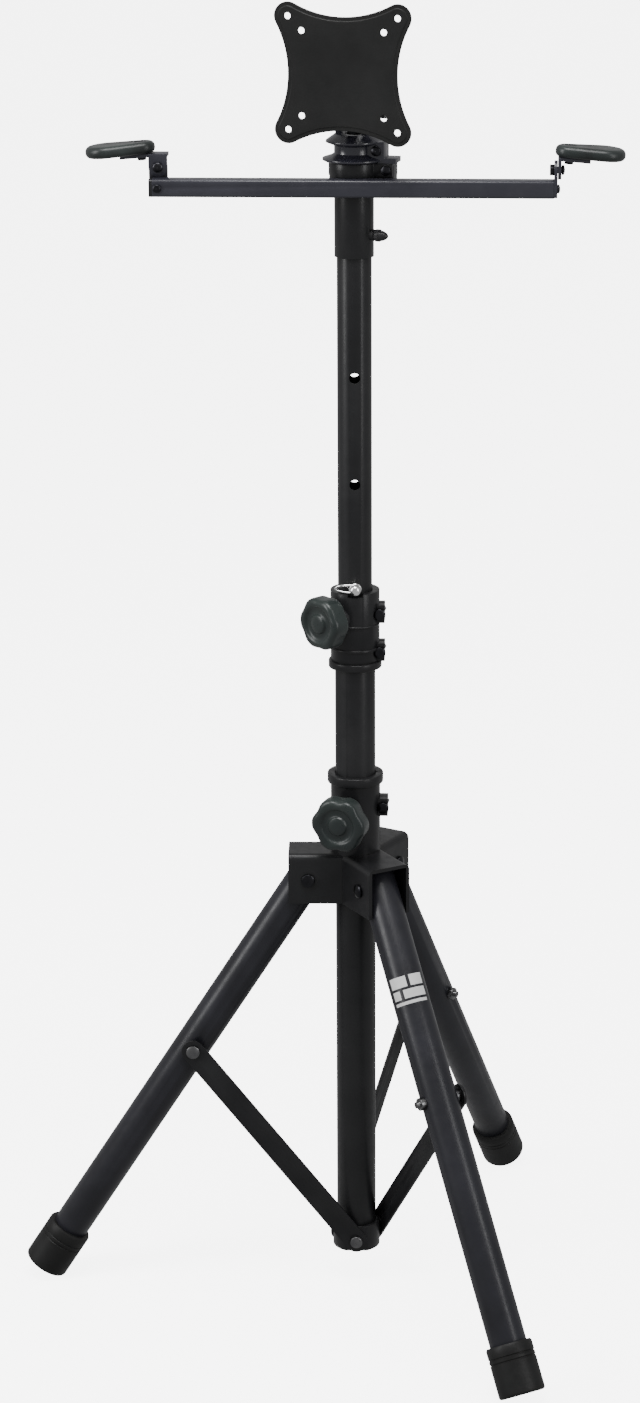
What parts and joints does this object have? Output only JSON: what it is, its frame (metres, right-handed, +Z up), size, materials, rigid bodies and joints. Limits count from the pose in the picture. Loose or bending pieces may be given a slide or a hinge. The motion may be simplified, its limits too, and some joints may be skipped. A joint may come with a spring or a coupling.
{
  "type": "tripod display stand",
  "caption": "Free-standing folding tripod with a telescoping pinned mast, a swivelling and tilting flat-panel plate and a turning crossbar that ends in round rest pads.",
  "frame": {"origin": "on the floor under the middle of the pole", "axes": "+Z up along the pole; the mounting plate faces -Y and its bolt rows lie along X and Z"},
  "size_m": [0.5618, 0.5563, 1.2505],
  "materials": {
    "painted_tube": "satin black powder coat",
    "painted_steel": "satin black powder coat",
    "black_plastic": "moulded black plastic",
    "bright_steel": "zinc plated",
    "dark_steel": "black oxide",
    "rubber": "matt black rubber"
  },
  "bodies": {
    "pole": {"lower_tube": "painted_tube", "base_collar": "painted_steel", "base_plug": "black_plastic", "mast_bushing": "black_plastic", "clamp_body": "painted_steel", "clamp_ring": "painted_steel", "clamp_bolts": "dark_steel", "clamp_shoe": "dark_steel"},
    "clamp_knob": {"clamp_knob": "black_plastic", "clamp_screw": "bright_steel"},
    "hub": {"hub_housing": "painted_steel", "hub_ring": "painted_steel", "hub_bolt": "dark_steel", "hub_shoe": "dark_steel", "leg_pivot_bolts": "bright_steel"},
    "hub_knob": {"hub_knob": "black_plastic", "hub_screw": "bright_steel"},
    "leg_a": {"leg_tube_a": "painted_tube", "leg_plug_a": "black_plastic", "leg_foot_a": "rubber", "brace_bolt_a": "bright_steel"},
    "leg_b": {"leg_tube_b": "painted_tube", "leg_plug_b": "black_plastic", "leg_foot_b": "rubber", "brace_bolt_b": "bright_steel"},
    "leg_c": {"leg_tube_c": "painted_tube", "leg_plug_c": "black_plastic", "leg_foot_c": "rubber", "brace_bolt_c": "bright_steel"},
    "brace_a": {"brace_a": "painted_steel", "brace_rivet_a": "bright_steel"},
    "brace_b": {"brace_b": "painted_steel", "brace_rivet_b": "bright_steel"},
    "brace_c": {"brace_c": "painted_steel", "brace_rivet_c": "bright_steel"},
    "mast": {"mast_tube": "painted_tube", "mast_glide": "black_plastic", "mast_cap": "black_plastic"},
    "lock_pin": {"lock_pin": "bright_steel"},
    "crossbar": {"bar_sleeve": "painted_tube", "crossbar": "painted_tube", "bar_plugs": "black_plastic", "left_post": "painted_steel", "right_post": "painted_steel", "post_screws": "bright_steel", "tab_bolts": "bright_steel", "head_collar": "painted_steel", "collar_screw": "dark_steel"},
    "thumbscrew": {"thumbscrew": "black_plastic"},
    "left_tab": {"left_tab": "painted_steel", "left_pad_screw": "dark_steel"},
    "right_tab": {"right_tab": "painted_steel", "right_pad_screw": "dark_steel"},
    "left_pad": {"left_pad": "rubber"},
    "right_pad": {"right_pad": "rubber"},
    "spool": {"spool": "black_plastic", "spool_bolts": "dark_steel"},
    "tilt_knob": {"tilt_knob": "black_plastic"},
    "plate": {"tilt_bracket": "painted_steel", "plate": "painted_steel"}
  },
  "joints": [
    {"name": "clamp_knob_turn", "type": "hinge", "parent": "pole", "child": "clamp_knob", "pos_m": [0, 0, 0.6805], "axis": [-0.5299, -0.848, 0], "range_deg": [0, 450]},
    {"name": "fold", "type": "slide", "parent": "pole", "child": "hub", "axis": [0, 0, 1], "range_m": [0, 0.081]},
    {"name": "hub_knob_turn", "type": "hinge", "parent": "hub", "child": "hub_knob", "pos_m": [0, 0, 0.48566], "axis": [-0.1219, -0.9925, 0], "range_deg": [0, 450]},
    {"name": "leg_a_pivot", "type": "hinge", "parent": "hub", "child": "leg_a", "pos_m": [-0.04366, -0.01089, 0.42316], "axis": [0.2419, -0.9703, 0], "range_deg": [0, 30]},
    {"name": "brace_a_pivot", "type": "hinge", "parent": "leg_a", "child": "brace_a", "pos_m": [-0.15292, -0.03813, 0.24708], "axis": [0.2419, -0.9703, 0], "range_deg": [-55.6, 0]},
    {"name": "leg_b_pivot", "type": "hinge", "parent": "hub", "child": "leg_b", "pos_m": [0.03126, -0.03237, 0.42316], "axis": [0.7193, 0.6947, 0], "range_deg": [0, 30]},
    {"name": "brace_b_pivot", "type": "hinge", "parent": "leg_b", "child": "brace_b", "pos_m": [0.10948, -0.11337, 0.24708], "axis": [0.7193, 0.6947, 0], "range_deg": [-55.6, 0]},
    {"name": "leg_c_pivot", "type": "hinge", "parent": "hub", "child": "leg_c", "pos_m": [0.0124, 0.04326, 0.42316], "axis": [-0.9613, 0.2756, 0], "range_deg": [0, 30]},
    {"name": "brace_c_pivot", "type": "hinge", "parent": "leg_c", "child": "brace_c", "pos_m": [0.04344, 0.1515, 0.24708], "axis": [-0.9613, 0.2756, 0], "range_deg": [-55.6, 0]},
    {"name": "mast_raise", "type": "slide", "parent": "pole", "child": "mast", "axis": [0, 0, 1], "range_m": [0, 0.2]},
    {"name": "pin_pull", "type": "slide", "parent": "mast", "child": "lock_pin", "axis": [0.2588, -0.9659, 0], "range_m": [0, 0.045]},
    {"name": "crossbar_turn", "type": "hinge", "parent": "mast", "child": "crossbar", "pos_m": [0, 0, 1.085], "axis": [0, 0, 1], "range_deg": [-180, 180]},
    {"name": "thumbscrew_turn", "type": "hinge", "parent": "crossbar", "child": "thumbscrew", "pos_m": [0, 0, 1.04], "axis": [0.9636, -0.2672, 0], "range_deg": [0, 360]},
    {"name": "left_rest_tilt", "type": "hinge", "parent": "crossbar", "child": "left_tab", "pos_m": [-0.16833, -0.05292, 1.102], "axis": [-0.1994, 0.9799, 0], "range_deg": [-15, 15]},
    {"name": "right_rest_tilt", "type": "hinge", "parent": "crossbar", "child": "right_tab", "pos_m": [0.18598, 0.01283, 1.102], "axis": [0.9799, 0.1994, 0], "range_deg": [-15, 15]},
    {"name": "left_pad_turn", "type": "hinge", "parent": "left_tab", "child": "left_pad", "pos_m": [-0.18531, -0.04923, 1.11837], "axis": [-0.0854, -0.0174, 0.9962], "range_deg": [-90, 90]},
    {"name": "right_pad_turn", "type": "hinge", "parent": "right_tab", "child": "right_pad", "pos_m": [0.1947, 0.01461, 1.11837], "axis": [0.0854, 0.0174, 0.9962], "range_deg": [-90, 90]},
    {"name": "head_swivel", "type": "hinge", "parent": "crossbar", "child": "spool", "pos_m": [0, 0, 1.1153], "axis": [0, 0, 1], "range_deg": [-90, 90]},
    {"name": "tilt_knob_turn", "type": "hinge", "parent": "spool", "child": "tilt_knob", "pos_m": [0.0153, 0, 1.158], "axis": [1, 0, 0], "range_deg": [0, 360]},
    {"name": "head_tilt", "type": "hinge", "parent": "spool", "child": "plate", "pos_m": [0, 0, 1.158], "axis": [1, 0, 0], "range_deg": [-12, 15]}
  ],
  "couplings": [
    {"joint": "leg_a_pivot", "follows": "fold", "rad_per_m": 6.454},
    {"joint": "brace_a_pivot", "follows": "fold", "rad_per_m": -11.978},
    {"joint": "leg_b_pivot", "follows": "fold", "rad_per_m": 6.454},
    {"joint": "brace_b_pivot", "follows": "fold", "rad_per_m": -11.978},
    {"joint": "leg_c_pivot", "follows": "fold", "rad_per_m": 6.454},
    {"joint": "brace_c_pivot", "follows": "fold", "rad_per_m": -11.978}
  ]
}
